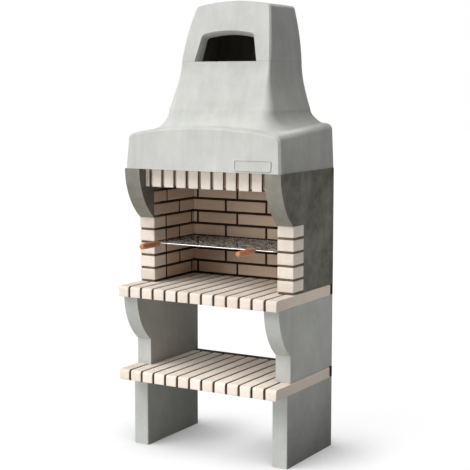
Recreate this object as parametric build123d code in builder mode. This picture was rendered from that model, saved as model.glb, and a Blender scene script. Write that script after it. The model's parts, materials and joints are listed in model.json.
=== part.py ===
from build123d import *
import os

os.makedirs("parts", exist_ok=True)

# Outdoor masonry barbecue, in millimetres
# X runs from left to right, Y from front to back and Z up.
# The origin is on the ground, under the middle of the footprint.
# A setback is a distance behind the front edge of the table.

# Whole barbecue
overall_depth = 611.0
table_width = 900.0
hood_back_overhang = 6.0
overrun = 5.0

# Shelf and table, two slabs of long bricks
strip_count = 13
strip_joint = 12.0
strip_arris = 1.5
slab_thickness = 54.0
slab_nose_radius = 15.0
slab_joint_recess = 3.0
slab_tail_depth = 42.0
slab_tail_inset = 8.0

# Legs
leg_thickness = 82.0
leg_inset = 5.5
leg_back_inset = 4.0
leg_arris = 3.0
lower_leg_height = 360.0
lower_leg_setback = 121.5
upper_leg_height = 369.0
upper_leg_setback = 153.0
upper_leg_nose_setback = 36.0
upper_leg_plinth = 132.0

# Brickwork of the fire chamber
course_height = 66.0
bed_joint = 11.5
brick_length = 231.5
brick_arris = 1.5
upright_joint = 11.0
joint_recess = 4.0
grill_slot_depth = 8.0
least_cut_brick = 40.0
course_count = 7
pillar_courses = 5
grill_course = 3

# Walls of the fire chamber
wall_height = 584.5
wall_inset = 7.5
wall_thickness = 88.5
panel_thickness = 38.0
lining_brick_depth = 38.0
pillar_setback = 180.0
pillar_depth = 105.0
pillar_outer_recess = 5.0
corbel_setback = 52.5
back_wall_depth = 54.0
back_panel_depth = 25.0
back_brick_depth = 22.0
back_corner_brick = 19.5
concrete_arris = 2.0

# Lintel of upright bricks
lintel_setback = 102.0
lintel_height = 90.5
lintel_depth = 70.0
lintel_brick_depth = 38.0
lintel_brick_width = 59.5
lintel_joint = 11.75
lintel_least_cut = 15.0
lintel_recess = 9.0
lintel_arris = 4.0

# Hood
hood_side_inset = 5.5
hood_setback = 53.0
hood_height = 525.5
hood_wall = 38.0
mantel_edge_height = 170.5
mantel_arch_rise = 37.5
mantel_lean = 13.0
mantel_side_lean = 10.0
mantel_shoulder_radius = 34.0
mantel_brow_bevel = 10.0
mantel_back_lift = 48.0
mantel_back_arch_rise = 20.0
flange_height = 40.0
flange_slope_height = 40.0
gather_base_height = 138.5
gather_back_rise = 45.0
hollow_drop = 20.0
hollow_bevel_share = 0.6

# Chimney, where the hood meets the cap
chimney_half_width = 254.0
chimney_setback = 285.0
gather_corner_radius = 130.0

# Chimney cap
cap_height = 298.0
cap_top_half_width = 203.0
cap_top_setback = 372.0
cap_bulge = 9.0
cap_arch_rise = 22.0
cap_roof = 40.0
cap_edge_bevel = 8.0

# Smoke outlet in the cap
outlet_half_width = 181.0
outlet_top_half_width = 159.0
outlet_height = 177.0
outlet_arch_rise = 22.0
outlet_corner_radius = 20.0
outlet_throat_depth = 78.0
outlet_throat_half_width = 131.0
outlet_throat_height = 124.0
outlet_throat_arch_rise = 18.0

# Grill
grill_side_gap = 2.5
grill_setback = 190.0
grill_back_gap = 5.0
grill_rod = 6.0
grill_rod_sides = 12
grill_corner_radius = 38.0
grill_wire = 1.8
grill_wire_sides = 6
grill_wire_clearance = 0.02
grill_wire_pitch = 20.0
grill_lift = 0.3

# Handles of the grill
handle_inset_left = 31.5
handle_inset_right = 128.5
handle_length = 152.0
handle_gap = 4.0
handle_base_radius = 11.5
handle_belly_radius = 15.5
handle_tip_radius = 14.0
handle_end_bevel = 4.0
handle_sides = 20
belly_share = 0.6
handle_bore_clearance = 0.1
shank_grip = 90.0
ferrule_length = 9.0
ferrule_radius = 8.0
ferrule_edge = 1.5

# Heights and places that follow from the sizes above
slab_setback_back = overall_depth - hood_back_overhang
strip_length = slab_setback_back - slab_tail_depth
leg_setback_back = slab_setback_back - leg_back_inset
back_lining_setback = slab_setback_back - back_wall_depth
back_panel_setback = slab_setback_back - back_panel_depth
strip_width = (table_width - (strip_count - 1) * strip_joint) / strip_count
strip_pitch = strip_width + strip_joint
shelf_bottom = lower_leg_height
shelf_top = shelf_bottom + slab_thickness
table_bottom = shelf_top + upper_leg_height
table_top = table_bottom + slab_thickness
wall_top = table_top + wall_height
pillar_top = table_top + pillar_courses * course_height
lining_top = table_top + course_count * course_height + bed_joint
leg_outer = table_width / 2 - leg_inset
wall_outer = table_width / 2 - wall_inset
wall_inner = wall_outer - wall_thickness
hood_half_width = wall_outer - hood_side_inset
lining_depth = wall_thickness - panel_thickness
brick_height = course_height - bed_joint
half_brick = brick_length / 2
pillar_back = pillar_setback + pillar_depth
seam_height = wall_top + hood_height


def y_at(setback):
    """Turns a setback from the table's front edge into a Y coordinate."""
    return setback - overall_depth / 2


def block(x_range, setback_range, z_range):
    """Adds a box between two X values, two setbacks and two heights."""
    size_x = x_range[1] - x_range[0]
    size_y = setback_range[1] - setback_range[0]
    size_z = z_range[1] - z_range[0]
    middle_y = y_at((setback_range[0] + setback_range[1]) / 2)
    with Locations(((x_range[0] + x_range[1]) / 2, middle_y, (z_range[0] + z_range[1]) / 2)):
        Box(size_x, size_y, size_z)


def carve(x_range, setback_range, z_range):
    """Cuts the same kind of box away."""
    size_x = x_range[1] - x_range[0]
    size_y = setback_range[1] - setback_range[0]
    size_z = z_range[1] - z_range[0]
    middle_y = y_at((setback_range[0] + setback_range[1]) / 2)
    with Locations(((x_range[0] + x_range[1]) / 2, middle_y, (z_range[0] + z_range[1]) / 2)):
        Box(size_x, size_y, size_z, mode=Mode.SUBTRACT)


def mirrored(side, low, high):
    """Gives an X range on the left (-1) or right (+1) from distances to the middle plane."""
    return (low, high) if side > 0 else (-high, -low)


def save(part, name):
    """Names a finished piece and writes it."""
    part.label = name
    export_step(part, f"parts/{name}.step")


# Slabs of the shelf and the table
def slab_bar(x_middle, width, bottom, recess):
    """Adds one bar of a slab with its rounded nose; a joint's bar is set back by its recess."""
    with BuildSketch(Plane.YZ.offset(x_middle - width / 2)) as side_view:
        with Locations((y_at((recess + strip_length) / 2), bottom + (slab_thickness - recess) / 2)):
            Rectangle(strip_length - recess, slab_thickness - recess)
        nose = side_view.vertices().group_by(Axis.Y)[-1].sort_by(Axis.X)[0]
        fillet(nose, slab_nose_radius - recess)
    extrude(side_view.sketch, amount=width)


def slab_brick(index, bottom):
    """One long brick of a slab."""
    x_middle = (index - (strip_count - 1) / 2) * strip_pitch
    with BuildPart() as brick:
        slab_bar(x_middle, strip_width, bottom, 0)
        chamfer(brick.faces().filter_by(Axis.X).edges(), strip_arris)
    return brick.part


def slab_mortar(bottom):
    """The mortar of a slab: a web in each joint and a strip along the back edge."""
    tail_half_width = table_width / 2 - slab_tail_inset
    with BuildPart() as mortar:
        for index in range(strip_count - 1):
            x_middle = (index - (strip_count - 2) / 2) * strip_pitch
            slab_bar(x_middle, strip_joint, bottom, slab_joint_recess)
        block(
            (-tail_half_width, tail_half_width),
            (strip_length, slab_setback_back),
            (bottom, bottom + slab_thickness),
        )
    return mortar.part


for slab_name, slab_bottom in (("shelf", shelf_bottom), ("table", table_bottom)):
    for number in range(strip_count):
        save(slab_brick(number, slab_bottom), f"{slab_name}_brick_{number + 1:02d}")
    save(slab_mortar(slab_bottom), f"{slab_name}_mortar")


# Legs
def lower_leg(side):
    """A plain upright slab on the ground."""
    with BuildPart() as leg:
        block(
            mirrored(side, leg_outer - leg_thickness, leg_outer),
            (lower_leg_setback, leg_setback_back),
            (0, lower_leg_height),
        )
        chamfer(leg.edges().filter_by(Axis.Z), leg_arris)
    return leg.part


def upper_leg(side):
    """An upright slab whose front edge swells forward to carry the table."""
    with BuildPart() as leg:
        with BuildSketch(Plane.YZ.offset(side * leg_outer)):
            with BuildLine():
                nose = (y_at(upper_leg_nose_setback), table_bottom)
                foot = (y_at(upper_leg_setback), shelf_top + upper_leg_plinth)
                swell = TangentArc(nose, foot, tangent=(0, -1))
                Polyline(
                    swell @ 1,
                    (y_at(upper_leg_setback), shelf_top),
                    (y_at(leg_setback_back), shelf_top),
                    (y_at(leg_setback_back), table_bottom),
                    swell @ 0,
                )
            make_face()
        extrude(amount=-side * leg_thickness)
        chamfer(leg.faces().sort_by(Axis.X)[0 if side < 0 else -1].edges(), leg_arris)
    return leg.part


for side_name, side_sign in (("left", -1), ("right", 1)):
    save(lower_leg(side_sign), f"lower_leg_{side_name}")
    save(upper_leg(side_sign), f"upper_leg_{side_name}")


# Brick courses
def bed_of(course):
    """Height of the top of a course's mortar bed, counted from 0 at the table."""
    return table_top + course * course_height + bed_joint


def brick_run(start, first_length, end):
    """Ranges of the bricks in a run between two places; the last is cut, or stretched over a small rest."""
    edges = [start, start + first_length]
    room_for_cut = end - upright_joint - least_cut_brick
    while edges[-1] < room_for_cut:
        edges += [edges[-1] + upright_joint, edges[-1] + upright_joint + brick_length]
    edges[-1] = end
    return list(zip(edges[0::2], edges[1::2]))


def side_bricks(course):
    """Setback ranges of the lining bricks of a side wall in one course."""
    above_pillar = course >= pillar_courses
    start = pillar_setback if above_pillar else pillar_back + upright_joint
    half_first = course % 2 == (0 if above_pillar else 1)
    return brick_run(start, half_brick if half_first else brick_length, back_panel_setback)


def back_bricks(course):
    """X ranges of the lining bricks of the back wall; every other course is mirrored."""
    ranges = brick_run(-wall_inner, back_corner_brick, wall_inner)
    if course % 2 == 1:
        ranges = [(-high, -low) for low, high in reversed(ranges)]
    return ranges


def lining_bricks(side, courses):
    """The lining bricks of a side wall in some courses."""
    with BuildPart() as bricks:
        for course in courses:
            for setbacks in side_bricks(course):
                heights = (bed_of(course), bed_of(course) + brick_height)
                block(mirrored(side, wall_inner, wall_inner + lining_brick_depth), setbacks, heights)
        chamfer(bricks.edges(), brick_arris)
    return bricks.part


def pillar_bricks(side, courses):
    """The bricks of a front pillar in some courses."""
    with BuildPart() as bricks:
        for course in courses:
            heights = (bed_of(course), bed_of(course) + brick_height)
            block(mirrored(side, wall_inner, wall_outer), (pillar_setback, pillar_back), heights)
        chamfer(bricks.edges(), brick_arris)
    return bricks.part


def side_mortar(side):
    """Mortar behind and between a side wall's lining bricks, with the pillar's beds and the grill's slot."""
    bed_x = mirrored(side, wall_inner + joint_recess, wall_inner + lining_depth)
    with BuildPart() as mortar:
        block(bed_x, (pillar_back, back_panel_setback), (table_top, lining_top))
        block(bed_x, (pillar_setback, pillar_back), (pillar_top, lining_top))
        for course in range(pillar_courses):
            block(
                mirrored(side, wall_inner + joint_recess, wall_outer - pillar_outer_recess),
                (pillar_setback + pillar_outer_recess, pillar_back),
                (bed_of(course) - bed_joint, bed_of(course)),
            )
        for course in range(course_count):
            for setbacks in side_bricks(course):
                heights = (bed_of(course), bed_of(course) + brick_height)
                carve(mirrored(side, wall_inner, wall_inner + lining_brick_depth), setbacks, heights)
        carve(
            mirrored(side, wall_inner, wall_inner + grill_slot_depth),
            (pillar_setback, back_panel_setback),
            (bed_of(grill_course) - bed_joint, bed_of(grill_course)),
        )
    return mortar.part


def back_mortar():
    """Mortar behind and between the back wall's lining bricks."""
    with BuildPart() as mortar:
        block(
            (-wall_inner, wall_inner),
            (back_lining_setback + joint_recess, back_panel_setback),
            (table_top, lining_top),
        )
        for course in range(course_count):
            for places in back_bricks(course):
                heights = (bed_of(course), bed_of(course) + brick_height)
                carve(places, (back_lining_setback, back_lining_setback + back_brick_depth), heights)
    return mortar.part


def back_lining():
    """The lining bricks of the back wall."""
    with BuildPart() as bricks:
        for course in range(course_count):
            for places in back_bricks(course):
                heights = (bed_of(course), bed_of(course) + brick_height)
                block(places, (back_lining_setback, back_lining_setback + back_brick_depth), heights)
        chamfer(bricks.edges(), brick_arris)
    return bricks.part


# Concrete walls
def side_wall(side):
    """A concrete panel with a corbel in front and a thick rail on top, pocketed for the lining."""
    with BuildPart() as wall:
        with BuildSketch(Plane.YZ.offset(side * wall_outer)):
            with BuildLine():
                nose = (y_at(corbel_setback), wall_top)
                foot = (y_at(pillar_setback), pillar_top)
                swell = TangentArc(nose, foot, tangent=(0, -1))
                Polyline(
                    swell @ 1,
                    (y_at(pillar_back), pillar_top),
                    (y_at(pillar_back), table_top),
                    (y_at(back_panel_setback), table_top),
                    (y_at(back_panel_setback), wall_top),
                    swell @ 0,
                )
            make_face()
        extrude(amount=-side * wall_thickness)
        outer_face = wall.faces().filter_by(Axis.X).sort_by(Axis.X)[0 if side < 0 else -1]
        chamfer(outer_face.edges(), concrete_arris)
        pocket_x = mirrored(side, wall_inner - overrun, wall_inner + lining_depth)
        carve(pocket_x, (pillar_back, back_panel_setback), (table_top, lining_top))
        carve(pocket_x, (pillar_setback, pillar_back), (pillar_top, lining_top))
    return wall.part


def back_wall():
    """A concrete panel behind the lining, with a thick rail between the side walls on top."""
    with BuildPart() as wall:
        block(
            (-wall_outer, wall_outer),
            (back_panel_setback, slab_setback_back),
            (table_top, wall_top),
        )
        block(
            (-wall_inner, wall_inner),
            (back_lining_setback, back_panel_setback),
            (lining_top, wall_top),
        )
    return wall.part


below_grill = range(grill_course)
above_grill = range(grill_course, course_count)
pillar_above_grill = range(grill_course, pillar_courses)
for side_name, side_sign in (("left", -1), ("right", 1)):
    save(side_wall(side_sign), f"side_wall_{side_name}")
    save(side_mortar(side_sign), f"side_mortar_{side_name}")
    save(lining_bricks(side_sign, below_grill), f"lining_bricks_{side_name}_lower")
    save(lining_bricks(side_sign, above_grill), f"lining_bricks_{side_name}_upper")
    save(pillar_bricks(side_sign, below_grill), f"pillar_bricks_{side_name}_lower")
    save(pillar_bricks(side_sign, pillar_above_grill), f"pillar_bricks_{side_name}_upper")
save(back_wall(), "back_wall")
save(back_mortar(), "back_mortar")
save(back_lining(), "back_lining_bricks")


# Lintel
def lintel_places():
    """X ranges of the upright bricks: full ones about the middle and a cut one at each end."""
    pitch = lintel_brick_width + lintel_joint
    room_beside_middle = wall_inner - lintel_brick_width / 2 - lintel_joint - lintel_least_cut
    each_side = int(room_beside_middle / pitch)
    full = []
    for number in range(-each_side, each_side + 1):
        full.append((number * pitch - lintel_brick_width / 2, number * pitch + lintel_brick_width / 2))
    cut_start = full[-1][1] + lintel_joint
    return [(-wall_inner, -cut_start)] + full + [(cut_start, wall_inner)]


lintel_bottom = wall_top - lintel_height
lintel_brick_setbacks = (lintel_setback, lintel_setback + lintel_brick_depth)

with BuildPart() as lintel_beam:
    block(
        (-wall_inner, wall_inner),
        (lintel_setback + lintel_recess, lintel_setback + lintel_depth),
        (lintel_bottom + lintel_recess, wall_top),
    )
    for places in lintel_places():
        carve(places, lintel_brick_setbacks, (lintel_bottom, wall_top))
save(lintel_beam.part, "lintel_beam")

with BuildPart() as lintel_bricks:
    for places in lintel_places():
        block(places, lintel_brick_setbacks, (lintel_bottom, wall_top))
    front_bottom = lintel_bricks.edges().filter_by(Axis.X).group_by(Axis.Z)[0].group_by(Axis.Y)[0]
    chamfer(front_bottom, lintel_arris)
    chamfer(lintel_bricks.faces().group_by(Axis.Y)[0].edges().filter_by(Axis.Z), brick_arris)
save(lintel_bricks.part, "lintel_bricks")


# Hood
def mantel_outline(setback, lift, rise):
    """Front view of the mantel at one setback: leaning sides, rounded shoulders, arched top."""
    edge_height = wall_top + mantel_edge_height + lift
    edge_x = hood_half_width - mantel_side_lean
    with BuildSketch(Plane.XZ.offset(-y_at(setback))) as outline:
        with BuildLine():
            sides = Polyline(
                (-edge_x, edge_height),
                (-hood_half_width, wall_top),
                (hood_half_width, wall_top),
                (edge_x, edge_height),
            )
            ThreePointArc(sides @ 1, (0, edge_height + rise), sides @ 0)
        make_face()
        fillet(outline.vertices().group_by(Axis.Y)[-1], mantel_shoulder_radius)
    return outline.sketch


# Gather from the mantel to the chimney, from the bottom up: height, rise towards the back, spread in X,
# spread in Y and corner radius. They are shares of the gather's height, of its largest rise, of what mantel
# and chimney differ by, and of the largest radius.
flare_shares = (
    (0.000, 1.00, 0.951, 0.935, 0.19),
    (0.078, 0.91, 0.825, 0.776, 0.54),
    (0.160, 0.67, 0.563, 0.560, 0.92),
    (0.246, 0.40, 0.404, 0.435, 0.74),
    (0.385, 0.00, 0.282, 0.312, 0.42),
)
shaft_shares = (
    flare_shares[-1],
    (0.539, 0.00, 0.176, 0.216, 0.28),
    (0.693, 0.00, 0.087, 0.137, 0.19),
    (0.846, 0.00, 0.025, 0.053, 0.12),
    (1.000, 0.00, 0.000, 0.000, 0.08),
)


def plan_section(height, half_width, setback, inset, rise=0, corner_radius=0, corner_bevel=0):
    """Section of the chimney that may rise towards the back, its front corners rounded or bevelled if asked."""
    front = y_at(setback + inset)
    depth = y_at(overall_depth - inset) - front
    slope = Plane(origin=(0, front, height), x_dir=(1, 0, 0), z_dir=(0, -rise, depth))
    with BuildSketch(slope) as section:
        length = (depth**2 + rise**2) ** 0.5
        with Locations((0, length / 2)):
            Rectangle(2 * (half_width - inset), length)
        front_corners = section.vertices().group_by(Axis.Y)[0]
        if corner_radius:
            fillet(front_corners, corner_radius)
        if corner_bevel:
            chamfer(front_corners, corner_bevel)
    return section.sketch


def gather_loft(inset, foot, top, rounded):
    """The flare and shaft of the hood between two heights, or their bevelled hollow when inset by the wall."""
    for shares in (flare_shares, shaft_shares):
        sections = []
        for height_share, rise_share, width_share, front_share, radius_share in shares:
            radius = radius_share * gather_corner_radius
            section = plan_section(
                foot + height_share * (top - foot),
                chimney_half_width + width_share * (hood_half_width - chimney_half_width),
                chimney_setback - front_share * (chimney_setback - hood_setback),
                inset,
                rise_share * gather_back_rise if rounded else 0,
                radius if rounded else 0,
                0 if rounded else hollow_bevel_share * radius,
            )
            sections.append(section)
        loft(sections, ruled=not rounded)


def prism(lower, upper, bottom, top):
    """Adds the space between two level rectangles, each a half width and two setbacks."""
    ends = []
    for (half_width, front, back), height in ((lower, bottom), (upper, top)):
        with BuildSketch(Plane.XY.offset(height)) as end:
            with Locations((0, y_at((front + back) / 2))):
                Rectangle(2 * half_width, back - front)
        ends.append(end.sketch)
    loft(ends, ruled=True)


flange_top = wall_top + flange_height
slope_top = flange_top + flange_slope_height
gather_foot = wall_top + gather_base_height
flange_opening = (wall_inner, lintel_setback + lintel_depth, back_lining_setback)
mantel_hollow = (
    hood_half_width - mantel_side_lean - hood_wall,
    hood_setback + mantel_lean + hood_wall,
    overall_depth - hood_wall,
)

# Hollow of the hood: a bearing flange at the bottom, a slope out to the thin wall, mantel and flue
with BuildPart() as hood_hollow:
    gather_loft(hood_wall, gather_foot - hollow_drop, seam_height + overrun, False)
    prism(flange_opening, flange_opening, wall_top - overrun, flange_top)
    prism(flange_opening, mantel_hollow, flange_top, slope_top)
    prism(mantel_hollow, mantel_hollow, slope_top, gather_foot - hollow_drop + overrun)

with BuildPart() as hood:
    mantel_front = mantel_outline(hood_setback, 0, mantel_arch_rise)
    mantel_back = mantel_outline(overall_depth, mantel_back_lift, mantel_back_arch_rise)
    loft([mantel_front, mantel_back], ruled=True)
    with BuildSketch(Plane.YZ.offset(-hood_half_width - overrun)):
        with BuildLine():
            lean_top = wall_top + mantel_edge_height + mantel_arch_rise
            Polyline(
                (y_at(hood_setback), wall_top),
                (y_at(hood_setback + mantel_lean), lean_top),
                (y_at(hood_setback + mantel_lean), lean_top + overrun),
                (y_at(hood_setback - overrun), lean_top + overrun),
                (y_at(hood_setback - overrun), wall_top),
                close=True,
            )
        make_face()
    extrude(amount=2 * (hood_half_width + overrun), mode=Mode.SUBTRACT)
    lean_face = hood.faces().sort_by(Axis.Y)[0]
    brow_height = wall_top + mantel_edge_height - mantel_shoulder_radius - mantel_brow_bevel
    brow = lean_face.edges().filter_by(lambda edge: edge.center().Z > brow_height)
    chamfer(brow, mantel_brow_bevel)
    gather_loft(0, gather_foot, seam_height, True)
    add(hood_hollow.part, mode=Mode.SUBTRACT)
save(hood.part, "hood")


# Chimney cap
# Sections from the seam up: height, and how far the cap has drawn in, as shares; the sides bulge
cap_shares = (0.0, 0.30, 0.60, 0.85, 1.06)


def cap_loft(inset):
    """The cap's walls, drawn in towards the top, or its hollow when inset."""
    sections = []
    for share in cap_shares:
        bulge = cap_bulge * 4 * share * (1 - share)
        half_width = chimney_half_width - share * (chimney_half_width - cap_top_half_width) + bulge
        setback = chimney_setback + share * (cap_top_setback - chimney_setback) - bulge
        section = plan_section(seam_height + share * cap_height, half_width, setback, inset)
        sections.append(section)
    loft(sections, ruled=inset > 0)


def roof_line(drop, mode):
    """Cuts everything above the arched roof, lowered by a drop."""
    ridge = seam_height + cap_height - drop
    arch_radius = (cap_top_half_width**2 + cap_arch_rise**2) / (2 * cap_arch_rise)
    with BuildSketch(Plane.XZ.offset(-y_at(overall_depth) - overrun)) as above:
        Rectangle(2 * (chimney_half_width + overrun), 2 * (ridge + cap_height))
        with Locations((0, ridge - arch_radius)):
            Circle(arch_radius, mode=Mode.SUBTRACT)
        with Locations((0, ridge - cap_height)):
            Rectangle(
                2 * (chimney_half_width + overrun),
                4 * (ridge + cap_height),
                align=(Align.CENTER, Align.MAX),
                mode=Mode.SUBTRACT,
            )
    extrude(above.sketch, amount=overall_depth + 2 * overrun, mode=mode)


def outlet_outline(setback, foot_half_width, head_half_width, height, rise):
    """Front view of the smoke outlet at one setback."""
    with BuildSketch(Plane.XZ.offset(-y_at(setback))) as outline:
        with BuildLine():
            frame = Polyline(
                (-head_half_width, seam_height + height - rise),
                (-foot_half_width, seam_height),
                (foot_half_width, seam_height),
                (head_half_width, seam_height + height - rise),
            )
            ThreePointArc(frame @ 1, (0, seam_height + height), frame @ 0)
        make_face()
        fillet(outline.vertices().group_by(Axis.Y)[-1], outlet_corner_radius)
    return outline.sketch


with BuildPart() as hollow:
    cap_loft(hood_wall)
    roof_line(cap_roof, Mode.SUBTRACT)

with BuildPart() as cap:
    cap_loft(0)
    roof_line(0, Mode.SUBTRACT)
    roof = cap.faces().sort_by(Axis.Z)[-1]
    roof_edges = roof.edges().sort_by(Axis.Y)[:-1]
    uprights = cap.edges().filter_by(lambda edge: abs((edge @ 1).Z - (edge @ 0).Z) > cap_height / 2)
    chamfer(roof_edges + uprights.sort_by(Axis.Y)[:2], cap_edge_bevel)
    add(hollow.part, mode=Mode.SUBTRACT)
    mouth = outlet_outline(
        chimney_setback - overrun,
        outlet_half_width,
        outlet_top_half_width,
        outlet_height,
        outlet_arch_rise,
    )
    throat = outlet_outline(
        chimney_setback + outlet_throat_depth,
        outlet_throat_half_width,
        outlet_throat_half_width,
        outlet_throat_height,
        outlet_throat_arch_rise,
    )
    loft([mouth, throat], mode=Mode.SUBTRACT)
save(cap.part, "chimney_cap")


# Grill
rod_radius = grill_rod / 2
wire_radius = grill_wire / 2
grill_height = table_top + grill_course * course_height + grill_lift + rod_radius
grill_half_width = wall_inner + grill_slot_depth - grill_side_gap - rod_radius
grill_back = back_lining_setback - grill_back_gap - rod_radius
ferrule_back = grill_setback - rod_radius - handle_gap
handle_back = ferrule_back - ferrule_length
shank_front = handle_back - shank_grip
handle_bore_radius = rod_radius + handle_bore_clearance
handles = (
    ("left", handle_inset_left - grill_half_width),
    ("right", grill_half_width - handle_inset_right),
)

with BuildPart() as grill_frame:
    with BuildLine(Plane.XY.offset(grill_height)) as rail:
        FilletPolyline(
            (-grill_half_width, y_at(grill_setback)),
            (grill_half_width, y_at(grill_setback)),
            (grill_half_width, y_at(grill_back)),
            (-grill_half_width, y_at(grill_back)),
            radius=grill_corner_radius,
            close=True,
        )
    with BuildSketch(Plane(origin=rail.line @ 0, z_dir=rail.line % 0)):
        RegularPolygon(rod_radius, grill_rod_sides)
    sweep()
    with BuildSketch(Plane.XZ.offset(-y_at(grill_setback))):
        with Locations(*[(x, grill_height) for _, x in handles]):
            RegularPolygon(rod_radius, grill_rod_sides)
    extrude(amount=grill_setback - shank_front)
save(grill_frame.part, "grill_frame")

cross_height = grill_height + rod_radius + wire_radius + grill_wire_clearance
long_height = cross_height + grill_wire + grill_wire_clearance
cross_count = int((grill_back - grill_setback - grill_rod) / grill_wire_pitch) + 1
long_count = 2 * int((wall_inner - grill_rod) / grill_wire_pitch) + 1
grid_middle = y_at((grill_setback + grill_back) / 2)
with BuildPart() as grill_wires:
    with BuildSketch(Plane.YZ.offset(-grill_half_width)):
        with Locations((grid_middle, cross_height)):
            with GridLocations(grill_wire_pitch, 0, cross_count, 1):
                RegularPolygon(wire_radius, grill_wire_sides, major_radius=False)
    extrude(amount=2 * grill_half_width)
    with BuildSketch(Plane.XZ.offset(-y_at(grill_back))):
        with Locations((0, long_height)):
            with GridLocations(grill_wire_pitch, 0, long_count, 1):
                RegularPolygon(wire_radius, grill_wire_sides, major_radius=False)
    extrude(amount=grill_back - grill_setback)
save(grill_wires.part, "grill_wires")

with BuildPart() as ferrules:
    with BuildSketch(Plane.XZ.offset(-y_at(ferrule_back))):
        with Locations(*[(x, grill_height) for _, x in handles]):
            Circle(ferrule_radius)
            RegularPolygon(handle_bore_radius, grill_rod_sides, mode=Mode.SUBTRACT)
    extrude(amount=ferrule_length)
    round_edges = ferrules.edges().filter_by(GeomType.CIRCLE).group_by(Axis.Y)[-1]
    outer_edges = round_edges.filter_by(lambda edge: edge.radius == ferrule_radius)
    chamfer(outer_edges, ferrule_edge)
save(ferrules.part, "handle_ferrules")


def handle(x):
    """A wooden handle that swells and narrows again, with a bevelled end, bored for the shank."""
    back = y_at(handle_back)
    outline = (
        (0, handle_base_radius),
        (belly_share * handle_length, handle_belly_radius),
        (handle_length - handle_end_bevel, handle_tip_radius),
        (handle_length, handle_tip_radius - handle_end_bevel),
    )
    sections = []
    for distance, radius in outline:
        with BuildSketch(Plane.XZ.offset(distance - back)) as section:
            with Locations((x, grill_height)):
                RegularPolygon(radius, handle_sides)
        sections.append(section.sketch)
    with BuildPart() as turned:
        loft(sections, ruled=True)
        with BuildSketch(Plane.XZ.offset(-back)) as bore:
            with Locations((x, grill_height)):
                RegularPolygon(handle_bore_radius, grill_rod_sides)
        extrude(bore.sketch, amount=shank_grip + handle_bore_clearance, mode=Mode.SUBTRACT)
    return turned.part


for side_name, handle_x in handles:
    save(handle(handle_x), f"handle_{side_name}")
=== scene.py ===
import json
import math

import bpy
import numpy as np
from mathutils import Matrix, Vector


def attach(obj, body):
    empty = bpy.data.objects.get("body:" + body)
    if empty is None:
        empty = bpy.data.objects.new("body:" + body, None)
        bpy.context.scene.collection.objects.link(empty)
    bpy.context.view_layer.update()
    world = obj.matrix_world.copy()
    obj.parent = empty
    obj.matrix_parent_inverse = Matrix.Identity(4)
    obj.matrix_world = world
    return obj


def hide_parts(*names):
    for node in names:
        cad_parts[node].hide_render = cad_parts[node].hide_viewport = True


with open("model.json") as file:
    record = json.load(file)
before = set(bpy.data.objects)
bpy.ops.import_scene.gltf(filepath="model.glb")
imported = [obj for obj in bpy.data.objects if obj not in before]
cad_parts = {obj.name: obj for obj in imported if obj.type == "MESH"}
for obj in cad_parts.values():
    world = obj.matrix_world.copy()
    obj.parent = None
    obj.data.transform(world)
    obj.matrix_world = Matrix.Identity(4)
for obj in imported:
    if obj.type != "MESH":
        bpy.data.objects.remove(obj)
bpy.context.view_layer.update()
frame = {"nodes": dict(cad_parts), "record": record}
nodes = frame["nodes"]

MM = 0.001


def bounds_of(node):
    """Lowest and highest corner of a CAD node."""
    corners = np.array([nodes[node].matrix_world @ v.co for v in nodes[node].data.vertices])
    return corners.min(0), corners.max(0)


# Camera, with angles in degrees
CAMERA_TARGET = Vector((0.0785, -0.0555, 1.0981))
CAMERA_AZIMUTH = 30.6035
CAMERA_ELEVATION = 6.9672
CAMERA_DISTANCE = 6.1353
CAMERA_LENS = 95.32
CAMERA_SENSOR = 36.0
CAMERA_FAR_LIMIT = 100.0

# Bricks
EDGE_ROUND = 2.6 * MM
NOSE_ROUND = 15.0 * MM
EDGE_STEPS = (0.0, 0.35, 1.0)
NOSE_STEPS = (0.0, 0.12, 0.32, 0.62, 1.0)
BRICK_STEP = 9.0 * MM
WEAR_DEPTH = 0.7 * MM
WEAR_SIZE = 28.0 * MM
WEAR_SEED = 3.0
TONE_SPREAD = 50.0
LINTEL_INSET = 2.2 * MM
STRIPS_PER_SLAB = 13
NO_LENGTH = 1e-9

# Grill
ROD_BEND = 38.0 * MM
ROD_BEND_STEPS = 12
ROD_SIDES = 20
WIRE_SIDES = 6
WIRE_STEPS = 6

# Grill handles: their radii are shares of the largest one, their places shares of the length
HANDLE_TURNS = 40
HANDLE_RINGS = 40
HANDLE_TIP_RINGS = 8
HANDLE_CLEARANCE = 0.02 * MM
HANDLE_BEVEL = 0.9 * MM
BORE_SHARE = 0.3
BASE_SHARE = 0.742
TIP_SHARE = 0.903
TIP_ROUND_SHARE = 0.45
BELLY_PLACE = 0.62
GROOVE_PLACES = (0.055, 0.925)
GROOVE_DEPTH = 0.7 * MM
GROOVE_WIDTH = 1.6 * MM

# Bare name plate on the mantel: its place and size across and up
PLATE_CENTRE = (0.288, 1.4575)
PLATE_SIZE = (0.200, 0.053)
PLATE_CORNER = 12.0 * MM
PLATE_CORNER_STEPS = 8
PLATE_RIM = 4.5 * MM
PLATE_RISE = 1.2 * MM
RIM_RISE = 4.0 * MM
RIM_SOFTNESS = 0.6 * MM
MANTEL_LEAN = 0.0625

# Faces of the CAD model that stains, painted shade and tones follow
leg_low, leg_high = bounds_of("lower_leg_right")
wall_low, wall_high = bounds_of("side_wall_right")
back_low, back_high = bounds_of("back_lining_bricks")
hood_low, hood_high = bounds_of("hood")
INNER_FACE = wall_low[0] + 0.5 * MM
OUTER_FACE = wall_high[0] - 2.0 * MM
BACK_FACE = back_low[1]
LINTEL_FACE = bounds_of("lintel_bricks")[0][1]
LINTEL_LEVEL = back_high[2] + MM
LINTEL_BEAM_DEPTH = 30.0 * MM
JOINT_LIP = 1.2 * MM
MESH_CREST = bounds_of("grill_wires")[1][2]
CREST_HEIGHT = 0.7 * MM
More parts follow.
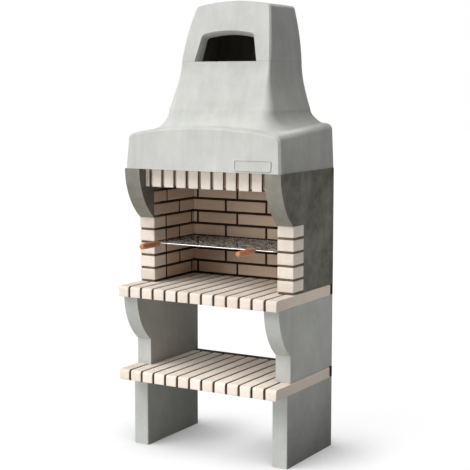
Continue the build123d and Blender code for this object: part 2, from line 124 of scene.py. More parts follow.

# Behind the corbels, the stain and the painted shade are on the panels' edges too
STAIN_AND_SHADE_FRONT = 0.0
STAIN_AND_SHADE_FADE = 40.0 * MM

# Painted shade that rises from the foot of the lower legs, and painted shade on the inner faces of the upper
# legs under the table
LEG_SHADE_FOOT = 20.0 * MM
LEG_SHADE_HEIGHT = 0.40
INNER_LEG_SHADE_SHARE = 0.3
UNDER_TABLE_SHADE_LEVEL = 0.40
UNDER_TABLE_SHADE_FADE = 20.0 * MM
UNDER_TABLE_SHADE_SHARE = 0.5

# Painted shade in the fire chamber's joints and in the slabs' joints, darker still behind the slabs' fronts
CHAMBER_HALF_WIDTH = wall_low[0] + 51.0 * MM
CHAMBER_SIDE_FADE = 3.0 * MM
CHAMBER_FRONT = -0.055
CHAMBER_FRONT_FADE = 50.0 * MM
CHAMBER_FLOOR = wall_low[2] + 0.5 * MM
CHAMBER_FLOOR_FADE = 2.0 * MM
JOINT_SHADE_FRONT = bounds_of("table_mortar")[0][1] + 17.5 * MM
JOINT_SHADE_FADE = 40.0 * MM

# Painted shade inside the chimney cap, whose sides and front draw in by these slopes above its seam
CAP_SEAM = hood_high[2]
FLUE_HALF_WIDTH = 0.238
FLUE_WALL_FADE = 4.0 * MM
FLUE_SIDE_SLOPE = 0.15
FLUE_FRONT = -0.020
FLUE_FRONT_FADE = 60.0 * MM
FLUE_FRONT_SLOPE = 0.29
FLUE_BACK = 0.280
FLUE_TOP = 2.205
FLUE_TOP_FADE = 10.0 * MM
SEAM_HEIGHT = 1.0 * MM
SEAM_FADE = 1.5 * MM
SEAM_SHADE = 0.28

# Painted shade on the sides of the mantel
MANTEL_SIDE = hood_high[0] - 13.0 * MM
MANTEL_SIDE_FADE = 16.0 * MM
MANTEL_FRONT = hood_low[1] + 15.0 * MM
MANTEL_FRONT_FADE = 15.0 * MM

# Floor: grey in the light that it sends back, pale to the camera, and with a painted shadow where the object
# shelters it
FLOOR_REACH = 40.0
FLOOR_LIT_TONE = 0.33
FLOOR_SEEN_TONE = 0.12
SHADOW_REACH = 0.42
SHADOW_LEAN = (-0.13, -0.55, 0.82)
SHADOW_SAMPLES = 12
SHADOW_RANGE = (0.25, 0.97)
SHADOW_TONES = (0.12, 0.93)


def srgb(red, green, blue):
    """Linear colour with alpha from red, green and blue of 0 to 255."""
    parts = [c / 255 for c in (red, green, blue)]
    linear = [c / 12.92 if c <= 0.04045 else ((c + 0.055) / 1.055) ** 2.4 for c in parts]
    return (*linear, 1.0)


def place_object(name, data):
    """An object in the scene, at the origin, with its mesh, lamp or camera."""
    made = bpy.data.objects.new(name, data)
    bpy.context.scene.collection.objects.link(made)
    return made


# Node trees
def add_node(tree, kind, inputs=None, **settings):
    """Adds a node. Inputs are values or other nodes' output sockets, by name or number."""
    made = tree.nodes.new(kind)
    for name, value in settings.items():
        setattr(made, name, value)
    for socket, value in (inputs or {}).items():
        if isinstance(value, bpy.types.NodeSocket):
            tree.links.new(value, made.inputs[socket])
        else:
            made.inputs[socket].default_value = value
    return made


def math_of(tree, operation, first, second=0.0):
    """Output of a Math node."""
    return add_node(tree, "ShaderNodeMath", {0: first, 1: second}, operation=operation).outputs[0]


def product(tree, first, *others):
    """Values multiplied."""
    for other in others:
        first = math_of(tree, "MULTIPLY", first, other)
    return first


def total(tree, first, *others):
    """Values added."""
    for other in others:
        first = math_of(tree, "ADD", first, other)
    return first


def weighted(tree, *parts):
    """Sum of values, each times its share."""
    return total(tree, *[product(tree, value, share) for value, share in parts])


def ramp_of(tree, value, low, high, to_low=0.0, to_high=1.0):
    """A value taken from one range to another, clamped."""
    inputs = {"Value": value, "From Min": low, "From Max": high, "To Min": to_low, "To Max": to_high}
    return add_node(tree, "ShaderNodeMapRange", inputs).outputs[0]


def rising(tree, value, start, fade):
    """0 up to a start and 1 from one fade past it."""
    return ramp_of(tree, value, start, start + fade)


def falling(tree, value, start, fade):
    """1 up to a start and 0 from one fade past it."""
    return ramp_of(tree, value, start, start + fade, 1.0, 0.0)


def mix_of(tree, factor, first, second, kind="MIX"):
    """Mixed colour of two colours."""
    inputs = {0: factor, 6: first, 7: second}
    return add_node(tree, "ShaderNodeMix", inputs, data_type="RGBA", blend_type=kind).outputs[2]


def noise_of(tree, vector, size, detail=3.0, roughness=0.5, distortion=0.0):
    """Noise whose features are about one size in metres."""
    inputs = {
        "Vector": vector,
        "Scale": 1 / size,
        "Detail": detail,
        "Roughness": roughness,
        "Distortion": distortion,
    }
    return add_node(tree, "ShaderNodeTexNoise", inputs).outputs[0]


def stretched(tree, vector, scale, place=(0, 0, 0)):
    """Coordinates scaled along each axis."""
    made = add_node(tree, "ShaderNodeMapping", {"Vector": vector, "Scale": scale, "Location": place})
    return made.outputs[0]


def axes_of(tree, vector):
    """The three parts of a place, across, from front to back and up."""
    return add_node(tree, "ShaderNodeSeparateXYZ", {0: vector}).outputs


def axis_vector(tree, axis, value):
    """A vector along one axis."""
    return add_node(tree, "ShaderNodeCombineXYZ", {axis: value}).outputs[0]


def new_group(name, kind, inputs, outputs):
    """A node group with its named inputs and outputs, each a name, a kind of socket and a value or None."""
    tree = bpy.data.node_groups.new(name, kind)
    for direction, sockets in (("INPUT", inputs), ("OUTPUT", outputs)):
        for label, socket_kind, value in sockets:
            socket_type = "NodeSocket" + socket_kind
            socket = tree.interface.new_socket(label, in_out=direction, socket_type=socket_type)
            if value is not None:
                socket.default_value = value
    given = add_node(tree, "NodeGroupInput").outputs
    out = add_node(tree, "NodeGroupOutput").inputs
    return tree, given, out


def new_effect(name, inputs, outputs):
    """A shader group for an effect, which puts out masks and values."""
    sockets = [(label, "Float", None) for label in outputs]
    return new_group(name, "ShaderNodeTree", inputs, sockets)


def new_form(name, inputs):
    """A geometry group that changes the geometry that it gets."""
    shape = ("Geometry", "Geometry", None)
    finish = ("Finish", "Material", None)
    return new_group(name, "GeometryNodeTree", (shape, *inputs, finish), (shape,))


def end_form(tree, geometry, given, out):
    """Ends a geometry group: its instances made real and coated with its finish."""
    real = add_node(tree, "GeometryNodeRealizeInstances", {"Geometry": geometry}).outputs[0]
    coat = {"Geometry": real, "Material": given["Finish"]}
    coated = add_node(tree, "GeometryNodeSetMaterial", coat).outputs[0]
    tree.links.new(coated, out["Geometry"])


def cast_surface_effect():
    """Cast concrete: clouds of tone, runs down the face, air holes and grain."""
    inputs = (
        ("Vector", "Vector", None),
        ("Cloud size", "Float", 0.2),
        ("Run share", "Float", 0.3),
        ("Hole share", "Float", 0.5),
    )
    tree, given, out = new_effect("cast surface", inputs, ("Cloud", "Holes", "Grain", "Height"))
    place = given["Vector"]
    wide_scale = math_of(tree, "DIVIDE", 1.0, given["Cloud size"])
    patch_scale = product(tree, wide_scale, 4.3)
    wide_inputs = {"Vector": place, "Scale": wide_scale, "Detail": 6.0, "Roughness": 0.58}
    patch_inputs = {"Vector": place, "Scale": patch_scale, "Detail": 5.0, "Roughness": 0.6}
    wide = add_node(tree, "ShaderNodeTexNoise", wide_inputs).outputs[0]
    patches = add_node(tree, "ShaderNodeTexNoise", patch_inputs).outputs[0]
    runs = noise_of(tree, stretched(tree, place, (1, 1, 0.13)), 50.0 * MM, detail=4.0, roughness=0.55)
    base = weighted(tree, (wide, 0.62), (patches, 0.38))
    spread = product(tree, math_of(tree, "SUBTRACT", runs, base), given["Run share"])
    cloud = ramp_of(tree, total(tree, base, spread), 0.34, 0.66)
    cells = add_node(tree, "ShaderNodeTexVoronoi", {"Vector": place, "Scale": 95.0, "Randomness": 1.0})
    chosen = ramp_of(tree, noise_of(tree, place, 35.0 * MM, detail=2.0), 0.50, 0.66)
    radius = product(tree, chosen, given["Hole share"], 0.42)
    holes = ramp_of(tree, math_of(tree, "SUBTRACT", radius, cells.outputs["Distance"]), 0.0, 0.09)
    grain = noise_of(tree, place, 1.6 * MM, roughness=0.65)
    sag = noise_of(tree, place, 50.0 * MM)
    relief = weighted(tree, (grain, 0.30), (sag, 0.55))
    height = math_of(tree, "SUBTRACT", relief, product(tree, holes, 0.8))
    for name, value in (("Cloud", cloud), ("Holes", holes), ("Grain", grain), ("Height", height)):
        tree.links.new(value, out[name])
    return tree


def fired_clay_effect():
    """Pressed and fired clay: specks, drag marks from the die, pits and a tone for each brick."""
    inputs = (
        ("Vector", "Vector", None),
        ("Brick tone", "Float", 0.5),
        ("Drag share", "Float", 0.5),
    )
    tree, given, out = new_effect("fired clay", inputs, ("Tone", "Pits", "Grain", "Height"))
    place = given["Vector"]
    own_place = axis_vector(tree, 0, product(tree, given["Brick tone"], 37.0))
    moved = add_node(tree, "ShaderNodeVectorMath", {0: place, 1: own_place}, operation="ADD").outputs[0]
    blush = noise_of(tree, moved, 70.0 * MM, detail=4.0, roughness=0.6)
    specks = noise_of(tree, moved, 6.0 * MM, detail=4.0, roughness=0.7)
    drags = noise_of(tree, stretched(tree, moved, (0.05, 0.05, 1.0)), 3.5 * MM, roughness=0.6)
    own_share = total(tree, product(tree, given["Brick tone"], 0.38), 0.09)
    tone = total(tree, product(tree, blush, 0.45), own_share)
    speckled = total(tree, tone, product(tree, math_of(tree, "SUBTRACT", specks, 0.5), 0.35))
    cells = add_node(tree, "ShaderNodeTexVoronoi", {"Vector": moved, "Scale": 210.0, "Randomness": 1.0})
    chosen = ramp_of(tree, noise_of(tree, moved, 20.0 * MM, detail=2.0), 0.52, 0.68)
    depth = math_of(tree, "SUBTRACT", product(tree, chosen, 0.36), cells.outputs["Distance"])
    pits = ramp_of(tree, depth, 0.0, 0.1)
    grain = noise_of(tree, place, 1.1 * MM, detail=2.0, roughness=0.6)
    relief = weighted(tree, (grain, 0.35), (drags, given["Drag share"]), (specks, 0.4))
    height = math_of(tree, "SUBTRACT", relief, pits)
    for name, value in (("Tone", speckled), ("Pits", pits), ("Grain", grain), ("Height", height)):
        tree.links.new(value, out[name])
    return tree


cast_surface = cast_surface_effect()
fired_clay = fired_clay_effect()


def use_effect(tree, group, inputs):
    """Outputs of a shader group that is placed in a material."""
    return add_node(tree, "ShaderNodeGroup", inputs, node_tree=group).outputs


def new_material(name):
    """An empty material with its tree, its Principled shader and its Object coordinates."""
    made = bpy.data.materials.new(name)
    made.use_nodes = True
    tree = made.node_tree
    tree.nodes.clear()
    shader = add_node(tree, "ShaderNodeBsdfPrincipled")
    add_node(tree, "ShaderNodeOutputMaterial", {"Surface": shader.outputs[0]})
    place = add_node(tree, "ShaderNodeTexCoord").outputs["Object"]
    return made, tree, shader, place


def set_shader(tree, shader, **inputs):
    """Sets inputs of a shader, named with underscores for spaces, to values or other nodes' outputs."""
    for name, value in inputs.items():
        socket = shader.inputs[name.replace("_", " ")]
        if isinstance(value, bpy.types.NodeSocket):
            tree.links.new(value, socket)
        else:
            socket.default_value = value


def set_bump(tree, shader, height, depth, strength=1.0):
    """Bump from a height, with its depth in metres."""
    bump = add_node(tree, "ShaderNodeBump", {"Height": height, "Distance": depth, "Strength": strength})
    set_shader(tree, shader, Normal=bump.outputs[0])


# Masks of the stains, soot and tones
def stain_and_shade_mask(tree, place):
    """1 on the side walls' and back wall's faces, partly stained and partly darkened by painted shade, 0 on
    the corbels' fronts.
    """
    x, y, _ = axes_of(tree, place)
    aside = math_of(tree, "ABSOLUTE", x)
    sides = total(tree, rising(tree, aside, OUTER_FACE, MM), falling(tree, aside, INNER_FACE, MM))
    return math_of(tree, "MAXIMUM", sides, rising(tree, y, STAIN_AND_SHADE_FRONT, STAIN_AND_SHADE_FADE))


def leg_shade_mask(tree, place):
    """Painted shade: 1 at the foot of the legs' outer faces, fading upwards, and less on their inner faces.
    """
    x, _, z = axes_of(tree, place)
    aside = math_of(tree, "ABSOLUTE", x)
    outer = rising(tree, aside, leg_high[0] - MM, MM)
    inner = falling(tree, aside, leg_low[0], MM)
    low = falling(tree, z, LEG_SHADE_FOOT, LEG_SHADE_HEIGHT - LEG_SHADE_FOOT)
    under_table_shade = product(tree, rising(tree, z, UNDER_TABLE_SHADE_LEVEL, UNDER_TABLE_SHADE_FADE), UNDER_TABLE_SHADE_SHARE)
    inner_shade = math_of(tree, "MAXIMUM", product(tree, low, INNER_LEG_SHADE_SHARE), under_table_shade)
    return weighted(tree, (outer, low), (inner, inner_shade))


def chamber_shade_mask(tree, place):
    """1 where shade is painted in the fire chamber: its joints, but not the pillars' fronts and outer sides.
    """
    x, y, z = axes_of(tree, place)
    across = falling(tree, math_of(tree, "ABSOLUTE", x), CHAMBER_HALF_WIDTH, CHAMBER_SIDE_FADE)
    behind = rising(tree, y, CHAMBER_FRONT - CHAMBER_FRONT_FADE, CHAMBER_FRONT_FADE)
    upwards = rising(tree, z, CHAMBER_FLOOR - CHAMBER_FLOOR_FADE, CHAMBER_FLOOR_FADE)
    return product(tree, across, behind, upwards)


def lintel_mask(tree, place):
    """1 on the face of the lintel's beam, between its bricks, where light is painted on the mortar."""
    _, y, z = axes_of(tree, place)
    front = falling(tree, y, LINTEL_FACE + LINTEL_BEAM_DEPTH, MM)
    return product(tree, front, rising(tree, z, LINTEL_LEVEL, MM))


def flue_shade_mask(tree, place):
    """1 on the chimney cap's inner faces as its walls draw in, where shade is painted, and a painted shade
    along its seam.
    """
    x, y, z = axes_of(tree, place)
    rise = math_of(tree, "SUBTRACT", z, CAP_SEAM)
    half_width = math_of(tree, "SUBTRACT", FLUE_HALF_WIDTH, product(tree, rise, FLUE_SIDE_SLOPE))
    inside = math_of(tree, "SUBTRACT", half_width, math_of(tree, "ABSOLUTE", x))
    behind = math_of(tree, "SUBTRACT", y, product(tree, rise, FLUE_FRONT_SLOPE))
    mask = product(
        tree,
        rising(tree, inside, 0.0, FLUE_WALL_FADE),
        rising(tree, behind, FLUE_FRONT, FLUE_FRONT_FADE),
        falling(tree, y, FLUE_BACK, FLUE_WALL_FADE),
        falling(tree, z, FLUE_TOP, FLUE_TOP_FADE),
    )
    seam = product(tree, falling(tree, rise, SEAM_HEIGHT, SEAM_FADE), SEAM_SHADE)
    return math_of(tree, "MAXIMUM", mask, seam)


def mantel_side_shade_mask(tree, place):
    """1 on the mantel's sides, where shade is painted, fading in its rounded shoulders."""
    x, y, _ = axes_of(tree, place)
    sides = rising(tree, math_of(tree, "ABSOLUTE", x), MANTEL_SIDE, MANTEL_SIDE_FADE)
    return product(tree, sides, rising(tree, y, MANTEL_FRONT, MANTEL_FRONT_FADE))


def lining_joint_mask(tree, place):
    """1 on the sides of the lining's bricks, in the joints behind their faces."""
    x, y, _ = axes_of(tree, place)
    beside = rising(tree, math_of(tree, "ABSOLUTE", x), INNER_FACE + JOINT_LIP, JOINT_LIP)
    return math_of(tree, "MAXIMUM", beside, rising(tree, y, BACK_FACE + JOINT_LIP, JOINT_LIP))


def lintel_joint_mask(tree, place):
    """Painted shade: 1 on the sides of the lintel's bricks, in the joints behind their faces."""
    _, y, z = axes_of(tree, place)
    behind = rising(tree, y, LINTEL_FACE + JOINT_LIP, JOINT_LIP)
    return product(tree, behind, rising(tree, z, LINTEL_LEVEL, MM))


# Finishes
PORE_TONE = (0.02, 0.02, 0.02, 1.0)
# Painted shade in the concrete's air holes
HOLE_SHADE_TONE = (0.02, 0.02, 0.018, 1.0)
PIT_TONE = srgb(120, 92, 70)
# Painted light for the lintel's bricks
LINTEL_PAINTED_LIGHT_TONE = srgb(255, 244, 232)
MORTAR_TONES = (srgb(100, 85, 71), srgb(130, 113, 97))
SAND_TONE = srgb(150, 136, 118)
# Painted shade for the slabs' joints, darker behind their fronts
SLAB_JOINT_PAINTED_SHADE = (0.40, 0.35, 0.31, 1.0)
BACK_JOINT_PAINTED_SHADE = (0.45, 0.42, 0.40, 1.0)
# Painted light for the lintel's joints
LINTEL_PAINTED_LIGHT = (1.9, 1.9, 1.9, 1.0)
# Painted shade for the fire chamber's joints
CHAMBER_PAINTED_SHADE = (0.19, 0.155, 0.13, 1.0)
PLATED_TONES = (srgb(178, 180, 182), srgb(212, 213, 214))
WIRE_TONES = (srgb(34, 29, 24), srgb(176, 172, 164))
# Tone of the wire's crests: partly worn steel, partly a painted highlight
RUBBED_AND_HIGHLIGHT_TONE = srgb(236, 236, 236)
STEEL_TONES = (srgb(150, 150, 150), srgb(186, 186, 184))
WOOD_TONES = (srgb(176, 104, 65), srgb(218, 152, 107))


def cast_concrete(name, tones, cloud_size, run_share, hole_share, mask=None, other_tones=None):
    """Cast concrete between two tones, and between two others where a mask says so."""
    made, tree, shader, place = new_material(name)
    shares = {"Cloud size": cloud_size, "Run share": run_share, "Hole share": hole_share}
    face = use_effect(tree, cast_surface, {"Vector": place, **shares})
    tone = mix_of(tree, face["Cloud"], *tones)
    if mask:
        tone = mix_of(tree, mask(tree, place), tone, mix_of(tree, face["Cloud"], *other_tones))
    grained = mix_of(tree, ramp_of(tree, face["Grain"], 0.3, 0.7, 0.0, 0.16), tone, PORE_TONE)
    # Air holes darkened towards black: painted shade in them
    holed = mix_of(tree, product(tree, face["Holes"], 0.45), grained, HOLE_SHADE_TONE)
    roughness = ramp_of(tree, face["Cloud"], 0.0, 1.0, 0.92, 0.80)
    set_shader(tree, shader, Base_Color=holed, Roughness=roughness, Specular_IOR_Level=0.28)
    set_bump(tree, shader, face["Height"], depth=0.9 * MM)
    return made


def brick_material(name, tones, drag_share, joint_mask=None, joint_tone=None, lintel_light_share=0.0):
    """Cream brick with a tone for each, a joint's tone where a mask says so, and painted light that makes the
    lintel paler if given.
    """
    made, tree, shader, place = new_material(name)
    own_tone = add_node(tree, "ShaderNodeAttribute", attribute_name="brick_tone").outputs["Fac"]
    face = use_effect(tree, fired_clay, {"Vector": place, "Brick tone": own_tone, "Drag share": drag_share})
    tone = mix_of(tree, ramp_of(tree, face["Tone"], 0.2, 0.8), *tones)
    if lintel_light_share:
        # Painted light on the lintel's bricks, which lie under the mantel's brow
        lintel = rising(tree, axes_of(tree, place)[2], LINTEL_LEVEL, MM)
        tone = mix_of(tree, product(tree, lintel, lintel_light_share), tone, LINTEL_PAINTED_LIGHT_TONE)
    tone = mix_of(tree, product(tree, face["Pits"], 0.35), tone, PIT_TONE)
    if joint_mask:
        tone = mix_of(tree, joint_mask(tree, place), tone, joint_tone)
    set_shader(tree, shader, Base_Color=tone, Roughness=0.9, Specular_IOR_Level=0.25)
    set_bump(tree, shader, face["Height"], depth=0.6 * MM)
    return made


def mortar_material():
    """Sanded mortar, with painted shade between the slabs' bricks and in the fire chamber, and painted light
    that makes it paler in the lintel.
    """
    made, tree, shader, place = new_material("sanded_mortar")
    sand = noise_of(tree, place, 2.2 * MM, detail=4.0, roughness=0.7)
    lumps = noise_of(tree, place, 12.0 * MM, detail=4.0, roughness=0.6)
    patches = noise_of(tree, place, 110.0 * MM)
    tone = mix_of(tree, ramp_of(tree, patches, 0.35, 0.65), *MORTAR_TONES)
    tone = mix_of(tree, ramp_of(tree, sand, 0.52, 0.7, 0.0, 0.5), tone, SAND_TONE)
    _, y, z = axes_of(tree, place)
    # Painted shade on the slabs' joints, darker behind their fronts
    slab_joints = falling(tree, z, CHAMBER_FLOOR, MM)
    shaded_back_joints = product(tree, slab_joints, rising(tree, y, JOINT_SHADE_FRONT, JOINT_SHADE_FADE))
    # Painted light on the lintel's mortar
    lintel = lintel_mask(tree, place)
    # Painted shade on the fire chamber's joints
    chamber_shaded = chamber_shade_mask(tree, place)
    marks = ((slab_joints, SLAB_JOINT_PAINTED_SHADE), (shaded_back_joints, BACK_JOINT_PAINTED_SHADE), (lintel, LINTEL_PAINTED_LIGHT), (chamber_shaded, CHAMBER_PAINTED_SHADE))
    for mask, shade in marks:
        tone = mix_of(tree, mask, tone, shade, "MULTIPLY")
    set_shader(tree, shader, Base_Color=tone, Roughness=0.97, Specular_IOR_Level=0.15)
    set_bump(tree, shader, total(tree, product(tree, sand, 0.5), lumps), depth=1.6 * MM)
    return made


def plated_wire_material():
    """Bright plated steel wire, a little clouded."""
    made, tree, shader, place = new_material("plated_wire")
    clouds = noise_of(tree, place, 20.0 * MM)
    roughness = ramp_of(tree, clouds, 0.3, 0.7, 0.16, 0.32)
    tone = mix_of(tree, clouds, *PLATED_TONES)
    set_shader(tree, shader, Base_Color=tone, Roughness=roughness, Metallic=1.0)
    return made


def woven_wire_material():
    """Steel wire dulled by use, with a bright skin left in places, and bright, smooth crests: partly worn
    steel, partly a painted highlight.
    """
    made, tree, shader, place = new_material("woven_wire")
    clouds = noise_of(tree, place, 13.0 * MM, roughness=0.6)
    dulled = mix_of(tree, ramp_of(tree, clouds, 0.48, 0.58), *WIRE_TONES)
    # Crests: partly worn steel, partly a painted highlight
    rubbed_and_highlight = rising(tree, axes_of(tree, place)[2], MESH_CREST - CREST_HEIGHT, CREST_HEIGHT)
    tone = mix_of(tree, rubbed_and_highlight, dulled, RUBBED_AND_HIGHLIGHT_TONE)
    roughness = ramp_of(tree, rubbed_and_highlight, 0.0, 1.0, 0.46, 0.22)
    set_shader(tree, shader, Base_Color=tone, Roughness=roughness, Metallic=1.0)
    return made


def turned_steel_material():
    """Plain steel with fine turning lines."""
    made, tree, shader, place = new_material("turned_steel")
    lines = noise_of(tree, stretched(tree, place, (0.1, 1.0, 0.1)), 0.7 * MM, detail=2.0)
    tone = mix_of(tree, lines, *STEEL_TONES)
    roughness = ramp_of(tree, lines, 0.3, 0.7, 0.28, 0.46)
    set_shader(tree, shader, Base_Color=tone, Roughness=roughness, Metallic=1.0)
    set_bump(tree, shader, lines, depth=0.1 * MM, strength=0.5)
    return made


def handle_wood_material():
    """Oiled wood, its grain along the handle and end grain at its tip."""
    made, tree, shader, place = new_material("oiled_wood")
    warped = stretched(tree, place, (1.0, 0.16, 1.0), (0.03, 0.0, -0.02))
    rings = noise_of(tree, warped, 6.0 * MM, detail=4.0, roughness=0.55, distortion=0.6)
    streaks = noise_of(tree, stretched(tree, place, (1.0, 0.03, 1.0)), 1.4 * MM, roughness=0.6)
    grain = weighted(tree, (rings, 0.65), (streaks, 0.35))
    tone = mix_of(tree, ramp_of(tree, grain, 0.36, 0.64), *WOOD_TONES)
    roughness = ramp_of(tree, grain, 0.3, 0.7, 0.5, 0.38)
    set_shader(tree, shader, Base_Color=tone, Roughness=roughness, Coat_Weight=0.2, Coat_Roughness=0.3)
    set_bump(tree, shader, streaks, depth=0.15 * MM, strength=0.6)
    return made


hood_tones = (srgb(204, 205, 200), srgb(228, 229, 224))
# Painted shade for the mantel's sides
shaded_side_tones = (srgb(170, 171, 167), srgb(196, 197, 192))
cap_tones = (srgb(204, 205, 202), srgb(228, 229, 225))
# Painted shade for the inside of the chimney cap
shaded_flue_tones = (srgb(78, 74, 66), srgb(112, 107, 97))
panel_tones = (srgb(138, 135, 124), srgb(170, 167, 155))
# Darker tones of the walls' side and inner faces: partly real stain, partly painted shade
stained_and_shaded_tones = (srgb(84, 83, 75), srgb(142, 140, 130))
leg_tones = (srgb(186, 188, 183), srgb(206, 208, 203))
# Painted shade for the legs' feet and inner faces
shaded_leg_tones = (srgb(142, 144, 139), srgb(162, 164, 159))
strip_tones = (srgb(232, 216, 201), srgb(243, 234, 223))
wall_tones = (srgb(232, 216, 201), srgb(245, 236, 225))
# The lining is the same cream brick, darker by painted shade inside the fire chamber
shaded_lining_tones = (srgb(208, 182, 159), srgb(228, 206, 186))
lintel_joint_shade_tone = srgb(140, 124, 106)
lining_joint_tone = srgb(58, 44, 34)

finish_of_slot = {
    "hood_concrete": cast_concrete(
        "hood_concrete",
        hood_tones,
        cloud_size=0.30,
        run_share=0.30,
        hole_share=0.4,
        mask=mantel_side_shade_mask,
        other_tones=shaded_side_tones,
    ),
    "cap_concrete": cast_concrete(
        "cap_concrete",
        cap_tones,
        cloud_size=0.28,
        run_share=0.30,
        hole_share=0.4,
        mask=flue_shade_mask,
        other_tones=shaded_flue_tones,
    ),
    "panel_concrete": cast_concrete(
        "panel_concrete",
        panel_tones,
        cloud_size=0.20,
        run_share=0.10,
        hole_share=0.5,
        mask=stain_and_shade_mask,
        other_tones=stained_and_shaded_tones,
    ),
    "leg_concrete": cast_concrete(
        "leg_concrete",
        leg_tones,
        cloud_size=0.22,
        run_share=0.18,
        hole_share=0.5,
        mask=leg_shade_mask,
        other_tones=shaded_leg_tones,
    ),
    "slab_brick": brick_material("strip_brick", strip_tones, drag_share=0.35),
    "wall_brick": brick_material(
        "wall_brick",
        wall_tones,
        drag_share=0.6,
        joint_mask=lintel_joint_mask,
        joint_tone=lintel_joint_shade_tone,
        lintel_light_share=0.6,
    ),
    "lining_brick": brick_material(
        "lining_brick",
        shaded_lining_tones,
        drag_share=0.6,
        joint_mask=lining_joint_mask,
        joint_tone=lining_joint_tone,
    ),
    "mortar": mortar_material(),
    "grill_steel": plated_wire_material(),
    "ferrule_metal": turned_steel_material(),
    "handle_wood": handle_wood_material(),
}
mesh_finish = woven_wire_material()
slot_of_node = {entry["node"]: entry["material_slot"] for entry in frame["record"]["subparts"]}


# Meshes
def new_piece(name, vertices, faces, material, smooth=True):
    """A mesh object from vertices and faces."""
    mesh = bpy.data.meshes.new(name)
    mesh.from_pydata([tuple(v) for v in vertices], [], [tuple(f) for f in faces])
    mesh.update()
    if material:
        mesh.materials.append(material)
    if smooth:
        mesh.shade_smooth()
    return place_object(name, mesh)


def ring_quads(rings, count):
    """Corners of the quads between closed rings that follow one another, with one number of points each."""
    quads = []
    for ring in range(rings - 1):
        near, far = ring * count, (ring + 1) * count
        for number in range(count):
            after = (number + 1) % count
            quads.append((near + number, near + after, far + after, far + number))
    return quads


def seat(piece, body):
    """Rides a piece on its body."""
    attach(piece, body)


def grown(name, source, tree, inputs):
    """Plain mesh that a geometry tree makes from an object, which is removed."""
    modifier = source.modifiers.new("form", "NODES")
    modifier.node_group = tree
    for socket in tree.interface.items_tree:
        if socket.in_out == "INPUT" and socket.name in inputs:
            modifier[socket.identifier] = inputs[socket.name]
    graph = bpy.context.evaluated_depsgraph_get()
    graph.update()
    mesh = bpy.data.meshes.new_from_object(source.evaluated_get(graph))
    mesh.name = name
    bpy.data.objects.remove(source)
    mesh.shade_smooth()
    return place_object(name, mesh)


# Bricks
def solid_boxes(node):
    """Lowest and highest corners of each separate solid of a CAD node."""
    mesh = nodes[node].data
    corners = np.zeros(len(mesh.vertices) * 3)
    mesh.vertices.foreach_get("co", corners)
    corners = corners.reshape(-1, 3)
    keys, merged = np.unique(np.round(corners, 6), axis=0, return_inverse=True)
    merged = merged.reshape(-1)
    parent = np.arange(len(keys))

    def root(index):
        while parent[index] != index:
            parent[index] = parent[parent[index]]
            index = parent[index]
        return index

    for face in mesh.polygons:
        first, *others = (root(merged[v]) for v in face.vertices)
        for other in others:
            parent[root(other)] = root(first)
    roots = np.array([root(i) for i in range(len(keys))])
    boxes = [(keys[roots == r].min(0), keys[roots == r].max(0)) for r in np.unique(roots)]
    return sorted(boxes, key=lambda b: tuple(b[0]))


def spaced(low, high, near_low, near_high):
    """Places from low to high: close together near the ends, about one step apart between them."""
    first, last = low + near_low[-1], high - near_high[-1]
    count = max(1, round((last - first) / BRICK_STEP))
    middle = np.linspace(first, last, count + 1)
    return np.concatenate([low + np.array(near_low[:-1]), middle, high - np.array(near_high[:-1])[::-1]])


def box_grid(axes):
    """Vertices and faces of a box whose faces are divided at the places on its three axes."""
    index, points, faces = {}, [], []

    def vertex(key):
        if key not in index:
            index[key] = len(points)
            points.append([axes[n][key[n]] for n in range(3)])
        return index[key]

    for axis in range(3):
        u, v = (axis + 1) % 3, (axis + 2) % 3
        for end in (0, len(axes[axis]) - 1):
            for i in range(len(axes[u]) - 1):
                for j in range(len(axes[v]) - 1):
                    loop = []
                    for a, b in ((i, j), (i + 1, j), (i + 1, j + 1), (i, j + 1)):
                        key = [0, 0, 0]
                        key[axis], key[u], key[v] = end, a, b
                        loop.append(vertex(tuple(key)))
                    faces.append(loop if end else loop[::-1])
    return np.array(points), faces


def round_nose(points, low, high):
    """Moves a box's points in to a wide round along its top front edge."""
    centre = np.array([low[1] + NOSE_ROUND, high[2] - NOSE_ROUND])
    forward = np.minimum(points[:, 1] - centre[0], 0)
    upward = np.maximum(points[:, 2] - centre[1], 0)
    reach = np.stack([forward, upward], axis=1)
    length = np.linalg.norm(reach, axis=1)
    largest = np.abs(reach).max(axis=1)
    turned = (np.abs(reach).min(axis=1) > NO_LENGTH) & (length > NO_LENGTH)
    scale = np.where(turned, largest / np.maximum(length, NO_LENGTH), 1.0)
    points[:, 1] = np.where(turned, centre[0] + reach[:, 0] * scale, points[:, 1])
    points[:, 2] = np.where(turned, centre[1] + reach[:, 1] * scale, points[:, 2])


def rounded_box(low, high, nosed=False):
    """Vertices and faces of a box with rounded edges, and a wide round on its top front edge if nosed."""
    close = [share * EDGE_ROUND for share in EDGE_STEPS]
    wide = [share * NOSE_ROUND for share in NOSE_STEPS] if nosed else close
    axes = [
        spaced(low[0], high[0], close, close),
        spaced(low[1], high[1], wide, close),
        spaced(low[2], high[2], close, wide),
    ]
    points, faces = box_grid(axes)
    if nosed:
        round_nose(points, low, high)
    core = np.clip(points, np.array(low) + EDGE_ROUND, np.array(high) - EDGE_ROUND)
    reach = points - core
    length = np.linalg.norm(reach, axis=1)
    cornered = (np.abs(reach) > NO_LENGTH).sum(axis=1) > 1
    scale = np.where(cornered, EDGE_ROUND / np.maximum(length, NO_LENGTH), 1.0)
    return core + reach * scale[:, None], faces


